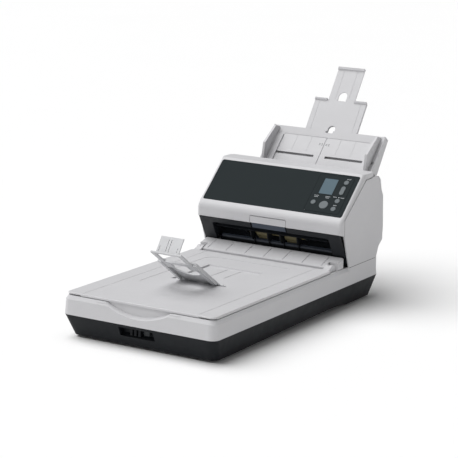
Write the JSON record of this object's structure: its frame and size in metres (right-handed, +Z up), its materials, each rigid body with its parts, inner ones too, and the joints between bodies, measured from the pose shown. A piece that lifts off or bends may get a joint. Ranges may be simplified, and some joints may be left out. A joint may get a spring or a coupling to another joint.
{
  "type": "sheet fed document scanner",
  "caption": "Desktop document scanner: long flatbed with a hinged lid and folding stacker, and a rear sheet feeder with lifting cover, sloping control panel and extending paper chute.",
  "frame": {"origin": "centre of the overall bounding box in plan, on the table under the rubber feet", "axes": "+Z up, +Y from the front edge of the flatbed to the rear where the chute is, +X to the right seen from the front"},
  "size_m": [0.3, 0.7192, 0.3898],
  "materials": {
    "casing_white": "fine matt",
    "base_dark": "fine matt",
    "frame_dark": "satin",
    "grip_blue": "satin",
    "guide_blue": "satin",
    "stacker_grey": "satin",
    "panel_charcoal": "satin",
    "lcd": "polished",
    "button_grey": "satin",
    "button_large": "satin",
    "switch_grey": "satin",
    "rubber_black": "matt",
    "roller_rubber": "matt",
    "scan_glass": "polished",
    "pad_white": "matt",
    "steel": "bare",
    "motor_steel": "satin",
    "gear_plastic": "satin",
    "inner_black": "matt",
    "board_green": "satin",
    "port_black": "satin"
  },
  "bodies": {
    "housing": {"base_tray": "base_dark", "rubber_feet": "rubber_black", "front_bay": "base_dark", "base_cover": "casing_white", "casing_screws": "steel", "flatbed_glass": "scan_glass", "ramp_cover": "casing_white", "hinge_pins": "steel", "guide_rod": "steel", "carriage_brackets": "inner_black", "carriage_belt": "rubber_black", "carriage_motor": "motor_steel", "control_board": "board_green", "rear_ports": "port_black", "side_cover_left": "casing_white", "side_cover_right": "casing_white", "rear_cover": "casing_white", "side_frames": "steel", "feed_motor": "motor_steel", "drive_belt": "rubber_black", "lower_guide": "frame_dark", "exit_sill": "base_dark", "exit_guide": "guide_blue", "lower_image_sensor": "frame_dark", "chute": "casing_white"},
    "lock": {"lock_switch": "switch_grey"},
    "scan_carriage": {"carriage": "inner_black"},
    "pulley_front": {"front_pulley": "gear_plastic"},
    "pulley_rear": {"drive_pulley": "gear_plastic"},
    "lid": {"flatbed_lid": "casing_white", "backing_pad": "pad_white"},
    "stacker": {"stacker_plate": "stacker_grey"},
    "stacker_slide": {"stacker_extension": "stacker_grey"},
    "stopper": {"stacker_stopper": "stacker_grey"},
    "cover": {"front_cover": "casing_white", "cover_panel": "panel_charcoal", "operator_bezel": "panel_charcoal", "lcd_window": "lcd", "exit_frame": "frame_dark", "upper_guide": "frame_dark", "upper_image_sensor": "frame_dark"},
    "tab": {"release_tab": "casing_white", "tab_grip": "grip_blue"},
    "idlers": {"eject_idlers": "roller_rubber"},
    "brake": {"brake_roller": "roller_rubber"},
    "eject": {"eject_roller": "roller_rubber"},
    "feed": {"feed_roller": "roller_rubber"},
    "pick": {"pick_roller": "roller_rubber"},
    "motor_shaft": {"motor_gear": "gear_plastic"},
    "extension_lower": {"chute_extension_1": "casing_white"},
    "extension_upper": {"chute_extension_2": "casing_white"},
    "guide_right": {"side_guide_right": "casing_white"},
    "guide_left": {"side_guide_left": "casing_white"},
    "pinion": {"guide_pinion": "gear_plastic"},
    "button_menu_cap": {"button_menu": "button_grey"},
    "button_select_cap": {"button_select": "button_grey"},
    "button_enter_cap": {"button_enter": "button_grey"},
    "button_stop_cap": {"button_stop": "button_grey"},
    "button_power_cap": {"button_power": "button_grey"},
    "button_scan_cap": {"button_scan": "button_large"}
  },
  "joints": [
    {"name": "lid_hinge", "type": "hinge", "parent": "housing", "child": "lid", "pos_m": [0, 0.04444, 0.076], "axis": [-1, 0, 0], "range_deg": [0, 88]},
    {"name": "cover_lift", "type": "hinge", "parent": "housing", "child": "cover", "pos_m": [0, 0.17045, 0.222], "axis": [1, 0, 0], "range_deg": [-38, 0]},
    {"name": "stacker_fold", "type": "hinge", "parent": "lid", "child": "stacker", "pos_m": [0, -0.16356, 0.0762], "axis": [-1, 0, 0], "range_deg": [0, 145.7]},
    {"name": "stacker_extend", "type": "slide", "parent": "stacker", "child": "stacker_slide", "axis": [0, -0.8261, 0.5635], "range_m": [-0.028, 0]},
    {"name": "stopper_fold", "type": "hinge", "parent": "stacker_slide", "child": "stopper", "pos_m": [0, -0.27238, 0.14559], "axis": [-1, 0, 0], "range_deg": [0, 90]},
    {"name": "tab_pull", "type": "hinge", "parent": "cover", "child": "tab", "pos_m": [0, 0.05704, 0.15], "axis": [-1, 0, 0], "range_deg": [0, 12], "stiffness_Nm_per_rad": 0.03},
    {"name": "button_menu_press", "type": "slide", "parent": "cover", "child": "button_menu_cap", "axis": [0, 0.6698, -0.7426], "range_m": [0, 0.001], "stiffness_N_per_m": 400},
    {"name": "button_select_press", "type": "slide", "parent": "cover", "child": "button_select_cap", "axis": [0, 0.6698, -0.7426], "range_m": [0, 0.001], "stiffness_N_per_m": 400},
    {"name": "button_enter_press", "type": "slide", "parent": "cover", "child": "button_enter_cap", "axis": [0, 0.6698, -0.7426], "range_m": [0, 0.001], "stiffness_N_per_m": 400},
    {"name": "button_stop_press", "type": "slide", "parent": "cover", "child": "button_stop_cap", "axis": [0, 0.6698, -0.7426], "range_m": [0, 0.001], "stiffness_N_per_m": 400},
    {"name": "button_power_press", "type": "slide", "parent": "cover", "child": "button_power_cap", "axis": [0, 0.6698, -0.7426], "range_m": [0, 0.001], "stiffness_N_per_m": 400},
    {"name": "button_scan_press", "type": "slide", "parent": "cover", "child": "button_scan_cap", "axis": [0, 0.6698, -0.7426], "range_m": [0, 0.001], "stiffness_N_per_m": 400},
    {"name": "idlers_spin", "type": "hinge", "parent": "cover", "child": "idlers", "pos_m": [0, 0.09306, 0.11213], "axis": [1, 0, 0], "continuous": true},
    {"name": "brake_spin", "type": "hinge", "parent": "cover", "child": "brake", "pos_m": [0, 0.15779, 0.17325], "axis": [1, 0, 0], "continuous": true},
    {"name": "feed_spin", "type": "hinge", "parent": "housing", "child": "feed", "pos_m": [0, 0.17051, 0.15913], "axis": [1, 0, 0], "continuous": true},
    {"name": "eject_spin", "type": "hinge", "parent": "housing", "child": "eject", "pos_m": [0, 0.10347, 0.10281], "axis": [1, 0, 0], "continuous": true},
    {"name": "pick_spin", "type": "hinge", "parent": "housing", "child": "pick", "pos_m": [0, 0.19213, 0.17995], "axis": [1, 0, 0], "continuous": true},
    {"name": "motor_spin", "type": "hinge", "parent": "housing", "child": "motor_shaft", "pos_m": [0, 0.16828, 0.12921], "axis": [1, 0, 0], "continuous": true},
    {"name": "lock_slide", "type": "slide", "parent": "housing", "child": "lock", "axis": [1, 0, 0], "range_m": [0, 0.008]},
    {"name": "carriage_travel", "type": "slide", "parent": "housing", "child": "scan_carriage", "axis": [0, 1, 0], "range_m": [0, 0.262]},
    {"name": "front_pulley_spin", "type": "hinge", "parent": "housing", "child": "pulley_front", "pos_m": [0.06, -0.33355, 0.045], "axis": [-1, 0, 0], "continuous": true},
    {"name": "drive_pulley_spin", "type": "hinge", "parent": "housing", "child": "pulley_rear", "pos_m": [0.06, -0.00955, 0.045], "axis": [-1, 0, 0], "continuous": true},
    {"name": "extension_lower_slide", "type": "slide", "parent": "housing", "child": "extension_lower", "axis": [0, 0.5664, 0.8241], "range_m": [-0.057, 0]},
    {"name": "extension_upper_slide", "type": "slide", "parent": "extension_lower", "child": "extension_upper", "axis": [0, 0.5664, 0.8241], "range_m": [-0.057, 0]},
    {"name": "guide_right_slide", "type": "slide", "parent": "housing", "child": "guide_right", "axis": [-1, 0, 0], "range_m": [0, 0.076]},
    {"name": "guide_left_slide", "type": "slide", "parent": "housing", "child": "guide_left", "axis": [1, 0, 0], "range_m": [0, 0.076]},
    {"name": "guide_pinion_spin", "type": "hinge", "parent": "housing", "child": "pinion", "pos_m": [0, 0.23861, 0.23323], "axis": [0, -0.7193, 0.6947], "continuous": true}
  ],
  "couplings": [
    {"joint": "stopper_fold", "follows": "stacker_fold", "ratio": 0.6177},
    {"joint": "eject_spin", "follows": "feed_spin", "ratio": 1},
    {"joint": "pick_spin", "follows": "feed_spin", "ratio": 1},
    {"joint": "motor_spin", "follows": "feed_spin", "ratio": -2.75},
    {"joint": "front_pulley_spin", "follows": "carriage_travel", "rad_per_m": 147.06},
    {"joint": "drive_pulley_spin", "follows": "carriage_travel", "rad_per_m": 147.06},
    {"joint": "guide_left_slide", "follows": "guide_right_slide", "ratio": 1},
    {"joint": "guide_pinion_spin", "follows": "guide_right_slide", "rad_per_m": -200}
  ]
}
